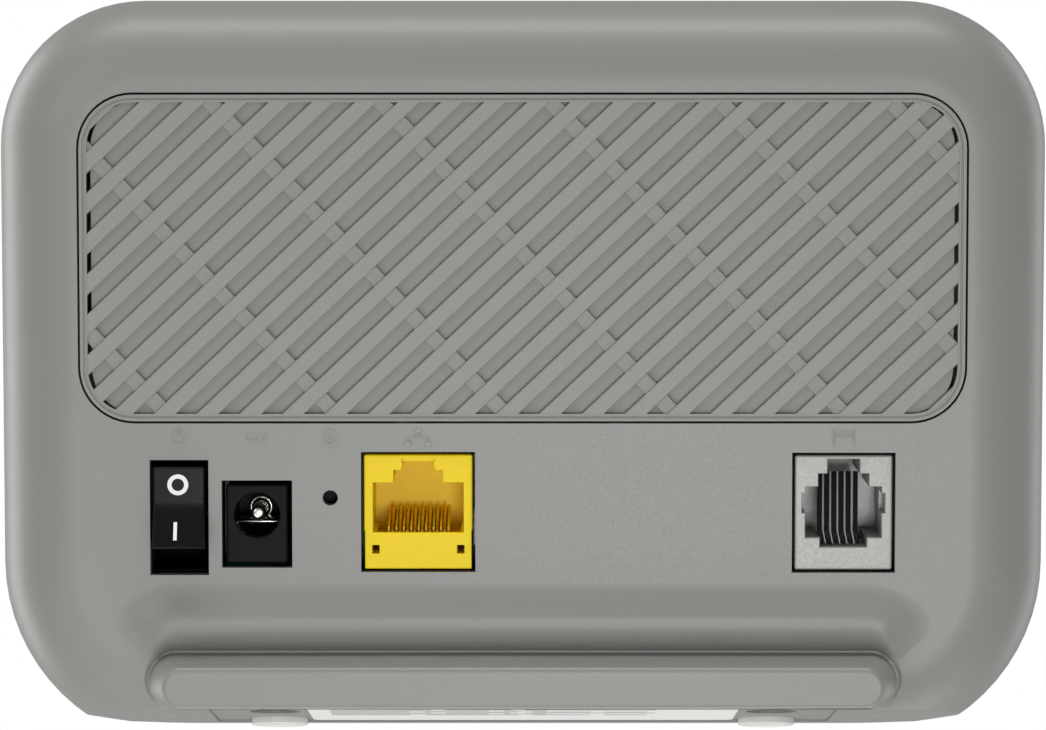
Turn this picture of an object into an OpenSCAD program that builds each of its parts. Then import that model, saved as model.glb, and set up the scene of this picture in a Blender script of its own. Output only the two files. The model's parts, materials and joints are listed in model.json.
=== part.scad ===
// DSL modem that stands leaning back on its lower edge, with its ports on the rear.
// Millimetres. +Z up, +X to the right when facing the ports, ports towards -Y.
// Most pieces are drawn in the frame of the rear face: X across it, Y up it,
// Z straight out of it, zero at the face. stand() then leans and lifts them.

/* [Case] */
// width of the case
case_width = 144; // [130:0.5:160]
// top edge of the case above the middle of the rear face
case_top = 49.4; // [44:0.2:56]
// lower edge of the case outline below the middle of the rear face
case_low = 54.6; // [48:0.2:60]
// depth of the case from rear face to front face
case_depth = 34; // [30:0.5:40]
// depth of the seam between the two halves
seam_depth = 13; // [10:0.5:16]
// wall thickness of both halves
wall = 2.2; // [1.6:0.1:3]
// radius of the upper corners
top_corner = 20; // [14:0.5:24]
// radius of the lower corners
low_corner = 26.5; // [20:0.5:30]
// how far the rear edge rounding reaches into the face
rear_round = 11; // [5:0.5:11.5]
// how deep the rear edge rounding is
rear_round_deep = 11; // [7:0.5:12]
// how far the front edge rounding reaches into the front
front_round = 13; // [8:0.5:16]
// how deep the front edge rounding is
front_round_deep = 15; // [8:0.5:18]
// angle the case leans back at
lean = 14; // [8:0.5:18]
// height of the middle of the rear face above the desk
stand_height = 46.45; // [42:0.05:50]
// gap between the flat base and the desk
base_gap = 0.6; // [0.3:0.1:1.5]

/* [Foot] */
// centre line of the foot bar on the rear face
foot_y = -43.4; // [-46:0.1:-40]
// half the distance between the round ends of the bar
foot_half = 47.4; // [40:0.1:52]
// radius of the bar where it meets the face
foot_r = 3.75; // [3:0.05:5]
// radius of the bar at its nose
foot_nose_r = 2.95; // [2:0.05:4]
// how far the bar stands out
foot_out = 7; // [5:0.1:9]
// outer radius of the raised lip around the bar
lip_r = 10.4; // [8:0.1:12]
// height of the raised lip
lip_out = 1.4; // [0.8:0.1:2]
// half the distance between the round ends of the lip
lip_half = 44; // [38:0.1:48]

/* [Vent] */
// middle of the vent, to the right
vent_x = -0.05; // [-4:0.05:4]
// middle of the vent, up the face
vent_y = 14.5; // [10:0.1:20]
// width of the opening in the rear face
vent_w = 121; // [100:0.5:124]
// height of the opening in the rear face
vent_h = 45; // [36:0.5:50]
// corner radius of that opening
vent_r = 7.6; // [4:0.1:10]
// margin from that opening to the ends of the slots
vent_margin = 1.3; // [0.8:0.1:3]
// distance from one rib to the next
rib_pitch = 4.0; // [3:0.05:5]
// width of a slot between two ribs
slot_w = 1.9; // [1:0.05:2.6]
// angle of the ribs above the horizontal
rib_angle = 43.3; // [30:0.1:60]
// distance between the cross bars, measured along the ribs
bar_pitch = 16.8; // [10:0.1:24]
// width of a cross bar
bar_w = 2.2; // [1:0.1:3]
// thickness of the ribs
rib_thick = 1.1; // [0.8:0.05:2]

/* [Ports] */
// left side of the ethernet jack
eth_x = -21.7; // [-24:0.1:-18]
// width of the ethernet jack
eth_w = 14.8; // [14:0.1:16.5]
// lower edge of the ethernet jack
eth_y = -28; // [-30:0.1:-26]
// height of the ethernet jack
eth_h = 15.7; // [14:0.1:17]
// left side of the line jack
dsl_x = 37.1; // [34:0.1:40]
// width of the line jack
dsl_w = 13.3; // [12:0.1:15]
// lower edge of the line jack
dsl_y = -28.1; // [-30:0.1:-26]
// height of the line jack
dsl_h = 15.7; // [14:0.1:17]
// left side of the power inlet
inlet_x = -40.5; // [-42:0.1:-38]
// width of the power inlet
inlet_w = 8.4; // [7:0.1:10]
// lower edge of the power inlet
inlet_y = -27.2; // [-29:0.1:-25]
// height of the power inlet
inlet_h = 10.8; // [9:0.1:13]
// middle of the inlet's hole, up the face
inlet_hole_y = -20.6; // [-22:0.1:-19]
// radius of the inlet's hole
inlet_hole_r = 3.1; // [2.8:0.05:3.4]
// radius of the inlet's centre pin
inlet_pin_r = 1.05; // [0.8:0.05:1.3]
// reset hole, to the right
reset_x = -26.3; // [-30:0.1:-24]
// reset hole, up the face
reset_y = -18.2; // [-24:0.1:-14]
// radius of the reset hole
reset_r = 1.05; // [0.7:0.05:1.5]
// travel of the reset plunger
reset_travel = 0.3; // [0.2:0.05:0.6]

/* [Switch] */
// middle of the rocker switch, to the right
switch_x = -46.9; // [-50:0.1:-44]
// middle of the rocker switch, up the face
switch_y = -20.9; // [-24:0.1:-18]
// width of the rocker
rocker_w = 7; // [5:0.1:9]
// half the length of the rocker
rocker_half = 5.6; // [4:0.1:7]
// depth of the rocker's pivot behind the face
pivot_depth = 5.5; // [4.5:0.1:7]
// half the angle the rocker swings through
rocker_tilt = 12; // [6:0.5:15]
// radius of the rocker's pivot pins
pivot_r = 1.25; // [0.8:0.05:1.6]
// running gap around those pins
pivot_gap = 0.05; // [0.02:0.01:0.1]

/* [Base] */
// distance between the two keyholes
keyhole_span = 69; // [50:0.5:90]
// radius of a keyhole where the screw head enters
keyhole_r = 3.5; // [2.5:0.1:5]
// width of a keyhole's slot
keyhole_slot = 3.6; // [2.5:0.1:5]
// radius of a rubber foot
pad_r = 4; // [3:0.1:6]
// width of the recessed panel that holds the label
panel_w = 86.5; // [70:0.5:100]
// width of the label
label_w = 59.4; // [40:0.2:80]

/* [Board] */
// depth of the board's rear side behind the rear face
board_depth = 15; // [13:0.1:18]
// thickness of the board
board_thick = 1.6; // [1:0.1:2]
// width of the board
board_w = 128; // [110:0.5:132]
// upper edge of the board
board_top = 45.4; // [40:0.2:47]
// lower edge of the board
board_low = -44.5; // [-46:0.1:-36]

/* [Indicators] */
// height of the row of indicators on the front, up the face
lamp_y = -30; // [-38:0.2:-20]
// distance between two indicators
lamp_pitch = 12; // [6:0.5:16]
// number of indicators
lamp_count = 4; // [2:1:6]
// width of the indicator window
window_w = 46; // [20:0.5:70]
// height of the indicator window
window_h = 5; // [3:0.1:8]

/* [Hidden] */
$fn = 48;
facet_round = 40;
edge_steps = 6;
shift_y = -16.9;
seat = 0.05;
big = 300;
base_plane = base_gap;
corner_top_x = case_width/2 - top_corner;
corner_top_y = case_top - top_corner;
corner_low_x = case_width/2 - low_corner;
corner_low_y = low_corner - case_low;
front_z = -case_depth;
board_z = -board_depth;
board_front_z = -board_depth - board_thick;
board_mid_y = (board_top + board_low)/2;
vent_skin = 0.1;
vent_fit = 0.3;
skirt_wall = 0.6;
skirt_deep = 2.0;
baffle_thick = 1.0;
baffle_gap = 0.5;
baffle_lap = 0.1;
jack_face = 0.3;
jack_gap = 0.4;
inlet_gap = 0.6;
well_w = 7.5;
well_h = 14.8;
switch_w = 10.4;
switch_h = 17.4;
switch_top = 2.5;
switch_open_w = 8;
switch_open_h = 15.8;
rocker_valley = 6.5;
rocker_end = rocker_valley + rocker_half*tan(rocker_tilt);
screw_r = 1.25;
pin_gap = 0.1;
screw_head_r = 2.6;
screw_head = 1.6;
boss_r = 3;
boss_top = 1.8;
key_head_y = 20 + shift_y;
key_slot_y = 12 + shift_y;
pad_y = 33 + shift_y;
panel_near = 7.6 + shift_y;
panel_far = 34.5 + shift_y;
panel_deep = 0.3;
label_thick = 0.15;
screw_spots = [[-50, 40.5], [50, 40.5], [-59, -31], [59, -31]];
snap_spots = [-40, 0, 40];
eth_mid = eth_x + eth_w/2;
dsl_mid = dsl_x + dsl_w/2;
contact_pitch = 1.02;
// depth of the jacks' cavities, and each step of a cavity about the middle line of its
// jack: half its width, its low side and its high side
jack_deep = 12.2;
eth_steps = [[6.2, -23.0, -16.1], [3.4, -17, -14.4], [2.3, -15, -12.8]];
eth_hole = [1, 1.2, 5];
eth_hole_x = 5.8;
eth_hole_y = -25.9;
eth_groove = [0.6, 2, 12.4];
eth_groove_y = -24;
dsl_steps = [[5.2, -23.7, -16.7], [3.45, -17, -14.9], [2.2, -15.2, -12.9]];
dsl_slot = [6.4, 1.6, 14];
dsl_slot_y = -25.0;
inlet_deep = 11;
inlet_mid = inlet_x + inlet_w/2;
spring_w = 2.2;
spring_thick = 0.4;
// what stands on the board: its left lower corner, then its width, height and thickness
soc_at = [-8.5, -0.5];
soc_size = [17, 17, 1.4];
pad_inset = 1;
pad_thick = 0.5;
sink_at = [-17, -8];
sink_size = [34, 32, 1.6];
sink_fin = 7;
memory_at = [22, 6];
memory_size = [8, 13.5, 1.1];
flash_at = [-30, 10];
flash_size = [8, 6, 1.2];
magnetics_at = [-34, -9.5];
magnetics_size = [13, 9.5, 5.6];
line_coil_at = [37, -8];
line_coil_size = [13, 13, 2.2];
line_core_size = [11, 11, 6.2];
driver_at = [27, -8];
driver_size = [5, 5, 0.9];
regulator_at = [-38, -38];
regulator_size = [6.5, 3.5, 1.6];
chip_cap_size = [2, 1.2, 0.8];
reset_body = 6;
reset_body_thick = 3.3;
reset_well = 1.8;
reset_well_floor = 1.4;
plunger_r = 1.74;
plunger_h = 9.6;
lamp_size = 1.6;
guide_r = 1.5;
window_thick = 1.2;
case_grey = [0.57, 0.57, 0.55];
black_abs = [0.09, 0.09, 0.09];
jack_yellow = [0.95, 0.84, 0.12];
jack_grey = [0.66, 0.66, 0.64];
gold = [0.83, 0.68, 0.36];
steel = [0.72, 0.72, 0.74];
board_green = [0.10, 0.34, 0.20];

// leans and lifts what is drawn in the frame of the rear face
module stand() {
    translate([0, shift_y, stand_height])
        rotate([90 + lean, 0, 0])
            children();
}

// rounded rectangle centred on the origin
module rounded(w, h, r) {
    hull()
        for (sx = [-1, 1], sy = [-1, 1])
            translate([sx*(w/2 - r), sy*(h/2 - r)])
                circle(r = r);
}

// edge of the case from rear to front for a corner of radius r, drawn in by d
function case_edge(r, d) = concat(
    [[0, -d]],
    [for (i = [0:edge_steps]) let (t = 90*i/edge_steps)
        [r - rear_round + (rear_round - d)*sin(t),
         (rear_round_deep - d)*cos(t) - rear_round_deep]],
    [for (i = [0:edge_steps]) let (t = 90*i/edge_steps)
        [r - front_round + (front_round - d)*cos(t),
         front_z + front_round_deep - (front_round_deep - d)*sin(t)]],
    [[0, front_z + d]]);

module case_corner(x, y, r, d) {
    translate([x, y, 0])
        rotate_extrude($fn = facet_round)
            polygon(case_edge(r, d));
}

// whole case as one soft-edged block, drawn in by d
module case_block(d) {
    hull() {
        for (s = [-1, 1]) {
            case_corner(s*corner_top_x, corner_top_y, top_corner, d);
            case_corner(s*corner_low_x, corner_low_y, low_corner, d);
        }
    }
}

// everything lower than a height above the desk
module under(h) {
    translate([-big/2, -big/2, h - big])
        cube([big, big, big]);
}

// hollow of the case, with a floor left over the flat base
module case_hollow() {
    difference() {
        stand() case_block(wall);
        under(base_plane + wall);
    }
}

// slab of the face frame from one depth to another
module slab(z_low, z_high) {
    translate([-big/2, -big/2, z_low])
        cube([big, big, z_high - z_low]);
}

module lip_block() {
    hull()
        for (s = [-1, 1])
            translate([s*lip_half, foot_y, 0]) {
                translate([0, 0, -wall])
                    cylinder(h = wall, r = lip_r, $fn = facet_round);
                cylinder(h = lip_out, r1 = lip_r, r2 = lip_r - lip_out, $fn = facet_round);
            }
}

// shallow dish between the lip and the bar
module lip_dish() {
    hull()
        for (s = [-1, 1])
            translate([s*foot_half, foot_y, 0])
                cylinder(h = lip_out + seat, r1 = foot_r + 0.4, r2 = lip_r - lip_out - 1,
                    $fn = facet_round);
}

module foot_bar() {
    nose = 0.7;
    hull()
        for (s = [-1, 1]) {
            translate([s*foot_half, foot_y, -wall])
                cylinder(h = wall, r = foot_r, $fn = facet_round);
            translate([s*(foot_half - 1.1), foot_y, foot_out - nose])
                cylinder(h = nose, r1 = foot_nose_r, r2 = foot_nose_r - 0.6, $fn = facet_round);
        }
}

module foot_hollow() {
    hull()
        for (s = [-1, 1])
            translate([s*(foot_half - 1.4), foot_y, -wall - 1])
                cylinder(h = foot_out + 1, r1 = foot_r - 1.5, r2 = foot_nose_r - 1.5,
                    $fn = facet_round);
}

// opening for a square-faced part, with a small gap all round
module port_cut(x, y, w, h, gap) {
    translate([x - gap, y - gap, -wall - 4])
        cube([w + 2*gap, h + 2*gap, wall + 5]);
}

module rear_openings() {
    translate([vent_x, vent_y, -wall - 1])
        linear_extrude(wall + 2)
            rounded(vent_w, vent_h, vent_r);
    port_cut(eth_x, eth_y, eth_w, eth_h, jack_gap);
    port_cut(dsl_x, dsl_y, dsl_w, dsl_h, jack_gap);
    port_cut(inlet_x, inlet_y, inlet_w, inlet_h, inlet_gap);
    translate([switch_x - switch_open_w/2, switch_y - switch_open_h/2, -wall - 1])
        cube([switch_open_w, switch_open_h, wall + 2]);
    translate([reset_x, reset_y, -wall - 1])
        cylinder(h = wall + 2, r = reset_r);
}

module screw_bosses() {
    for (p = screw_spots)
        translate([p[0], p[1], board_z])
            difference() {
                cylinder(h = board_depth - boss_top, r = boss_r);
                translate([0, 0, -1])
                    cylinder(h = 8, r = screw_r + seat);
            }
}

module keyholes() {
    for (s = [-1, 1])
        translate([s*keyhole_span/2, 0, -1]) {
            translate([0, key_head_y, 0])
                cylinder(h = wall + 4, r = keyhole_r);
            translate([-keyhole_slot/2, key_slot_y, 0])
                cube([keyhole_slot, key_head_y - key_slot_y, wall + 4]);
            translate([0, key_slot_y, 0])
                cylinder(h = wall + 4, r = keyhole_slot/2);
        }
}

module label_panel() {
    translate([-panel_w/2, panel_near, -1])
        cube([panel_w, panel_far - panel_near, 1 + base_plane + panel_deep]);
}

module rear_housing() {
    color(case_grey) {
        difference() {
            union() {
                difference() {
                    stand() {
                        difference() {
                            union() {
                                case_block(0);
                                lip_block();
                            }
                            slab(-big, -seam_depth);
                            lip_dish();
                        }
                    }
                    under(base_plane);
                }
                stand() foot_bar();
            }
            case_hollow();
            difference() {
                stand() foot_hollow();
                under(base_plane + wall);
            }
            under(0);
            stand() rear_openings();
            keyholes();
            label_panel();
        }
        stand() screw_bosses();
    }
}

module snap_tabs() {
    reach = 4;
    tab_w = 8;
    tab_thick = 1.4;
    for (x = snap_spots)
        translate([x - tab_w/2, case_top - wall - tab_thick - 0.15, -seam_depth - reach])
            cube([tab_w, tab_thick, reach + 2.4]);
    for (s = [-1, 1])
        translate([s*(case_width/2 - wall - 0.15 - tab_thick/2) - tab_thick/2, -tab_w/2,
            -seam_depth - reach])
            cube([tab_thick, tab_w, reach + 2.4]);
}

// short ribs that tie the snap tabs to the front half
module snap_roots() {
    for (x = snap_spots)
        translate([x - 4, case_top - wall - 1.6, -seam_depth - 4])
            cube([8, 2.2, 3]);
    for (s = [-1, 1])
        translate([s*(case_width/2 - wall - 0.5) - 1.1, -4, -seam_depth - 4])
            cube([2.2, 8, 3]);
}

module front_housing() {
    post_r = 2.5;
    color(case_grey) {
        difference() {
            stand() case_block(0);
            stand() slab(-seam_depth, big);
            case_hollow();
            under(base_plane);
            stand()
                translate([-window_w/2, lamp_y - window_h/2, front_z - 1])
                    cube([window_w, window_h, wall + 2]);
            label_panel();
            for (s = [-1, 1])
                translate([s*keyhole_span/2, pad_y, 0])
                    cylinder(h = 2*base_plane, r = pad_r + 0.1);
        }
        stand() {
            snap_tabs();
            snap_roots();
            for (s = [-1, 1])
                translate([s*40, 10, front_z + wall - 0.2])
                    cylinder(h = board_front_z - front_z - wall + 0.2, r = post_r);
        }
    }
}

module vent_outline(inset) {
    rounded(vent_w - 2*inset, vent_h - 2*inset, vent_r - inset);
}

module rib_slots() {
    reach = 90;
    count = 15;
    rotate(rib_angle)
        for (i = [-count:count])
            translate([-reach, i*rib_pitch - slot_w/2])
                square([2*reach, slot_w]);
}

module cross_bars() {
    reach = 70;
    phase = 0.5;
    rotate(rib_angle)
        for (i = [-4:4])
            translate([i*bar_pitch + phase - bar_w/2, -reach])
                square([bar_w, 2*reach]);
}

module vent_grille() {
    bar_drop = 0.3;
    clip_w = 6;
    color(case_grey)
        stand()
            translate([vent_x, vent_y, -vent_skin - rib_thick]) {
                linear_extrude(rib_thick)
                    difference() {
                        vent_outline(vent_fit);
                        intersection() {
                            vent_outline(vent_margin);
                            rib_slots();
                        }
                    }
                linear_extrude(rib_thick - bar_drop)
                    intersection() {
                        vent_outline(vent_margin - 0.2);
                        cross_bars();
                    }
                translate([0, 0, -skirt_deep])
                    linear_extrude(skirt_deep + 0.2)
                        difference() {
                            vent_outline(vent_fit);
                            vent_outline(vent_fit + skirt_wall);
                        }
                for (x = [-45, -15, 15, 45], s = [-1, 1])
                    translate([x - clip_w/2, s*(vent_h/2 + 0.2) - 0.7, -skirt_deep])
                        cube([clip_w, 1.4, skirt_deep + rib_thick + vent_skin - wall - seat]);
            }
}

module vent_baffle() {
    color(case_grey)
        stand()
            translate([vent_x, vent_y, -vent_skin - rib_thick - baffle_thick])
                linear_extrude(baffle_thick)
                    rounded(vent_w - 2*(vent_margin + baffle_gap),
                        vent_h - 2*(vent_margin - baffle_lap), vent_r - vent_margin);
}

module rubber_feet() {
    color([0.80, 0.80, 0.78])
        for (s = [-1, 1])
            translate([s*keyhole_span/2, pad_y, 0])
                cylinder(h = 2*base_plane, r = pad_r);
}

module rating_label() {
    color([0.90, 0.90, 0.88])
        translate([-label_w/2, panel_near + 1, base_plane + panel_deep - label_thick])
            cube([label_w, panel_far - panel_near - 2, label_thick]);
}

module main_pcb() {
    color(board_green)
        stand()
            difference() {
                translate([0, board_mid_y, board_front_z])
                    linear_extrude(board_thick)
                        rounded(board_w, board_top - board_low, 16);
                for (p = screw_spots)
                    translate([p[0], p[1], board_front_z - 1])
                        cylinder(h = board_thick + 2, r = screw_r + 0.35);
                terminal_posts(pin_gap);
                reset_legs(pin_gap);
            }
}

module pcb_screws() {
    color(steel)
        stand()
            for (p = screw_spots)
                translate([p[0], p[1], board_front_z]) {
                    cylinder(h = board_thick + 6, r = screw_r);
                    translate([0, 0, -screw_head])
                        difference() {
                            cylinder(h = screw_head, r = screw_head_r);
                            for (a = [0, 90])
                                rotate([0, 0, a])
                                    translate([-1.6, -0.3, -1])
                                        cube([3.2, 0.6, 1.9]);
                        }
                }
}

module box_at(x, y, z, w, h, d) {
    translate([x, y, z])
        cube([w, h, d]);
}

// stepped cavity of a jack
module jack_cavity(mid, steps) {
    for (p = steps)
        box_at(mid - p[0], p[1], -jack_deep, 2*p[0], p[2] - p[1], jack_deep + 1);
}

module eth_jack_housing() {
    color(jack_yellow)
        stand()
            difference() {
                box_at(eth_x, eth_y, board_z, eth_w, eth_h, board_depth - jack_face);
                jack_cavity(eth_mid, eth_steps);
                for (s = [-1, 1])
                    box_at(eth_mid + s*eth_hole_x - eth_hole[0]/2, eth_hole_y, -eth_hole[2],
                        eth_hole[0], eth_hole[1], eth_hole[2] + 1);
                for (i = [0:7])
                    box_at(eth_mid + (i - 3.5)*contact_pitch - eth_groove[0]/2, eth_groove_y,
                        -jack_deep - 1.8, eth_groove[0], eth_groove[1], eth_groove[2]);
            }
}

// springy contact wires of a jack, from the mouth back towards the board
module contact_wires(mid, count, foot, tip, back) {
    wire = 0.36;
    rise = tip - foot;
    run = back - 1.8;
    slope = atan(rise/run);
    for (i = [0:count - 1])
        translate([mid + (i - (count - 1)/2)*contact_pitch - wire/2, foot, -1.8]) {
            translate([0, -wire, -12.1])
                cube([wire, wire, 12.1]);
            translate([0, -wire/2, 0])
                rotate([slope, 0, 0])
                    translate([0, -wire/2, -run/cos(slope)])
                        cube([wire, wire, run/cos(slope)]);
        }
}

module eth_jack_contacts() {
    color(gold)
        stand()
            contact_wires(eth_mid, 8, -22.9, -20.0, 10.6);
}

module dsl_jack_housing() {
    color(jack_grey)
        stand()
            difference() {
                box_at(dsl_x, dsl_y, board_z, dsl_w, dsl_h, board_depth - jack_face);
                jack_cavity(dsl_mid, dsl_steps);
                box_at(dsl_mid - dsl_slot[0]/2, dsl_slot_y, -dsl_slot[2], dsl_slot[0],
                    dsl_slot[1], dsl_slot[2] + 1);
            }
}

module dsl_jack_contacts() {
    color(gold)
        stand()
            contact_wires(dsl_mid, 6, -24.2, -20.4, 10.6);
}

module dc_jack_body() {
    color(black_abs)
        stand()
            difference() {
                box_at(inlet_x, inlet_y, board_z, inlet_w, inlet_h, board_depth - jack_face);
                translate([inlet_mid, inlet_hole_y, -inlet_deep])
                    cylinder(h = inlet_deep + 1, r = inlet_hole_r);
                translate([inlet_mid, inlet_hole_y, -inlet_deep - 3])
                    cylinder(h = 4, r = inlet_pin_r + 0.02);
                box_at(inlet_mid - spring_w/2 - 0.2, inlet_hole_y - 4.4, -inlet_deep - 2,
                    spring_w + 0.4, 2.5, inlet_deep - 1);
            }
}

module dc_jack_pin() {
    foot = -13.5;
    shank = 10.2;
    tip = 0.8;
    color(steel)
        stand()
            translate([inlet_mid, inlet_hole_y, foot]) {
                cylinder(h = shank, r = inlet_pin_r);
                translate([0, 0, shank])
                    cylinder(h = tip, r1 = inlet_pin_r, r2 = inlet_pin_r - 0.45);
            }
}

// flat spring under the pin, with its free end bent up towards it
module dc_jack_spring() {
    bend = 38;
    color(steel)
        stand() {
            box_at(inlet_mid - spring_w/2, inlet_hole_y - 4.2, -12.8, spring_w, spring_thick, 8.6);
            translate([inlet_mid - spring_w/2, inlet_hole_y - 4.1, -4.7])
                rotate([bend, 0, 0])
                    cube([spring_w, 2.1, spring_thick]);
        }
}

module switch_frame() {
    floor_z = -12;
    color(black_abs)
        stand()
            translate([switch_x, switch_y, 0])
                difference() {
                    box_at(-switch_w/2, -switch_h/2, board_z, switch_w, switch_h,
                        board_depth - switch_top);
                    box_at(-well_w/2, -well_h/2, floor_z, well_w, well_h, 20);
                    translate([-switch_w/2 - 1, 0, -pivot_depth])
                        rotate([0, 90, 0])
                            cylinder(h = switch_w + 2, r = pivot_r + pivot_gap);
                }
}

// places what belongs to the rocker, tipped so its upper half is pressed in
module at_rocker() {
    stand()
        translate([switch_x, switch_y, -pivot_depth])
            rotate([-rocker_tilt, 0, 0])
                children();
}

module switch_rocker() {
    color(black_abs)
        at_rocker() {
            rotate([90, 0, 90])
                translate([0, 0, -rocker_w/2])
                    linear_extrude(rocker_w)
                        polygon([[-rocker_half, rocker_end], [0, rocker_valley],
                            [rocker_half, rocker_end], [rocker_half - 0.2, 2],
                            [3, -1.8], [-3, -1.8], [0.2 - rocker_half, 2]]);
            translate([-switch_w/2 + 0.2, 0, 0])
                rotate([0, 90, 0])
                    cylinder(h = switch_w - 0.4, r = pivot_r);
        }
}

module rocker_marks() {
    ring_r = 1.43;
    ring_hole = 0.85;
    ring_x = -0.1;
    bar_w = 0.48;
    bar_long = 2.6;
    bar_x = -0.4;
    mark_thick = 0.06;
    mark_mid = rocker_half/2 + 0.45;
    color([0.93, 0.93, 0.92])
        at_rocker() {
            translate([0, 0, rocker_valley])
                rotate([rocker_tilt, 0, 0])
                    translate([ring_x, mark_mid, 0])
                        linear_extrude(mark_thick)
                            difference() {
                                circle(r = ring_r);
                                circle(r = ring_hole);
                            }
            translate([0, 0, rocker_valley])
                rotate([-rocker_tilt, 0, 0])
                    translate([bar_x - bar_w/2, -mark_mid - bar_long/2, 0])
                        cube([bar_w, bar_long, mark_thick]);
        }
}

// flat pins under the switch, thickened all round by gap
module terminal_posts(gap) {
    for (dy = [-6, 0, 6])
        box_at(switch_x - 1.2 - gap, switch_y + dy - 0.3 - gap, board_front_z - 1.6,
            2.4 + 2*gap, 0.6 + 2*gap, 1.6 + board_thick);
}

module switch_terminals() {
    color(steel)
        stand()
            terminal_posts(0);
}

module reset_switch_body() {
    color(black_abs)
        stand()
            translate([reset_x, reset_y, board_z])
                difference() {
                    box_at(-reset_body/2, -reset_body/2, 0, reset_body, reset_body,
                        reset_body_thick);
                    translate([0, 0, reset_well_floor])
                        cylinder(h = 3, r = reset_well);
                }
}

module reset_switch_cover() {
    cover_thick = 0.3;
    color(steel)
        stand()
            translate([reset_x, reset_y, board_z + reset_body_thick])
                difference() {
                    box_at(-reset_body/2, -reset_body/2, 0, reset_body, reset_body,
                        cover_thick);
                    translate([0, 0, -1])
                        cylinder(h = 3, r = reset_well, $fn = 96);
                }
}

module reset_plunger() {
    rest_gap = 0.1;
    color(black_abs)
        stand()
            translate([reset_x, reset_y, board_z + reset_well_floor + reset_travel + rest_gap])
                cylinder(h = plunger_h, r = plunger_r);
}

// legs beside the reset switch, thickened all round by gap
module reset_legs(gap) {
    for (sx = [-1, 1], sy = [-1, 1])
        box_at(reset_x + sx*3.2 - 0.15 - gap, reset_y + sy*2.25 - 0.35 - gap,
            board_front_z - 1, 0.3 + 2*gap, 0.7 + 2*gap, board_thick + 3);
}

module reset_switch_legs() {
    color(steel)
        stand()
            reset_legs(0);
}

// block on the board's rear side, lifted by up
module on_board(at, size, up = 0) {
    translate([at[0], at[1], board_z + up])
        cube(size);
}

module soc_chip() {
    color([0.12, 0.12, 0.13])
        stand() on_board(soc_at, soc_size);
}

module thermal_pad() {
    side = soc_size[0] - 2*pad_inset;
    color([0.55, 0.60, 0.66])
        stand()
            on_board([soc_at[0] + pad_inset, soc_at[1] + pad_inset], [side, side, pad_thick],
                soc_size[2]);
}

module heat_sink() {
    fins = 9;
    fin_thick = 1;
    color([0.75, 0.76, 0.78])
        stand()
            translate([sink_at[0], sink_at[1], board_z + soc_size[2] + pad_thick]) {
                cube(sink_size);
                for (i = [0:fins - 1])
                    translate([i*(sink_size[0] - fin_thick)/(fins - 1), 0, 0])
                        cube([fin_thick, sink_size[1], sink_fin]);
            }
}

module memory_chip() {
    color([0.12, 0.12, 0.13])
        stand() on_board(memory_at, memory_size);
}

module flash_chip() {
    color([0.12, 0.12, 0.13])
        stand() on_board(flash_at, flash_size);
}

module ethernet_transformer() {
    color([0.10, 0.10, 0.11])
        stand() on_board(magnetics_at, magnetics_size);
}

module line_transformer() {
    inset = (line_coil_size[0] - line_core_size[0])/2;
    color([0.16, 0.14, 0.10])
        stand() {
            on_board(line_coil_at, line_coil_size);
            on_board([line_coil_at[0] + inset, line_coil_at[1] + inset], line_core_size,
                line_coil_size[2]);
        }
}

module line_driver_chip() {
    color([0.12, 0.12, 0.13])
        stand() on_board(driver_at, driver_size);
}

module surge_arrester() {
    color([0.80, 0.80, 0.82])
        stand()
            translate([25, -18, board_z + 3])
                rotate([0, 90, 0])
                    cylinder(h = 6, r = 2.9);
}

module line_fuse() {
    color([0.85, 0.62, 0.15])
        stand()
            translate([27, -26.5, board_z + 3.9])
                rotate([0, 90, 0])
                    cylinder(h = 2.4, r = 3.7);
}

module power_inductors() {
    color([0.20, 0.20, 0.20])
        stand()
            for (p = [[-55, -4], [-46, 8]]) {
                translate([p[0], p[1], board_z]) {
                    cylinder(h = 0.9, r = 3.9);
                    cylinder(h = 4.4, r = 2.6);
                    translate([0, 0, 3.5])
                        cylinder(h = 0.9, r = 3.9);
                }
            }
}

module electrolytic_capacitors() {
    color([0.22, 0.24, 0.30])
        stand() {
            translate([-41, -4.5, board_z])
                cylinder(h = 10.5, r = 4);
            translate([-56, 12, board_z])
                cylinder(h = 8, r = 3.15);
            translate([56, 4, board_z])
                cylinder(h = 8, r = 3.15);
        }
}

module voltage_regulator() {
    color([0.12, 0.12, 0.13])
        stand() on_board(regulator_at, regulator_size);
}

module crystal_can() {
    color(steel)
        stand()
            translate([12, 27, board_z])
                linear_extrude(3.5)
                    rounded(11, 4.6, 2.25);
}

module chip_capacitors() {
    row_pitch = 4;
    stack_pitch = 3;
    color([0.72, 0.62, 0.48])
        stand() {
            for (i = [0:5])
                on_board([-12 + i*row_pitch, -9.2], chip_cap_size);
            for (i = [0:3])
                on_board([-26, 20 + i*stack_pitch], chip_cap_size);
            for (i = [0:3])
                on_board([8 + i*row_pitch, -34], chip_cap_size);
        }
}

// middle of each lamp, across the face
function lamp_x(i) = (i - (lamp_count - 1)/2)*lamp_pitch;

module status_leds() {
    lamp_thick = 0.8;
    color([0.90, 0.92, 0.85])
        stand()
            for (i = [0:lamp_count - 1])
                box_at(lamp_x(i) - lamp_size/2, lamp_y - lamp_size/2,
                    board_front_z - lamp_thick, lamp_size, lamp_size, lamp_thick);
}

module light_guide() {
    air = 1.2;
    pipe = board_front_z - air - (front_z + window_thick);
    bridge_z = -26;
    color([0.88, 0.92, 0.94])
        stand() {
            for (i = [0:lamp_count - 1])
                translate([lamp_x(i), lamp_y, front_z + window_thick])
                    cylinder(h = pipe, r = guide_r);
            box_at(lamp_x(0), lamp_y - lamp_size/2, bridge_z,
                lamp_x(lamp_count - 1) - lamp_x(0), lamp_size, 2);
        }
}

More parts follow.
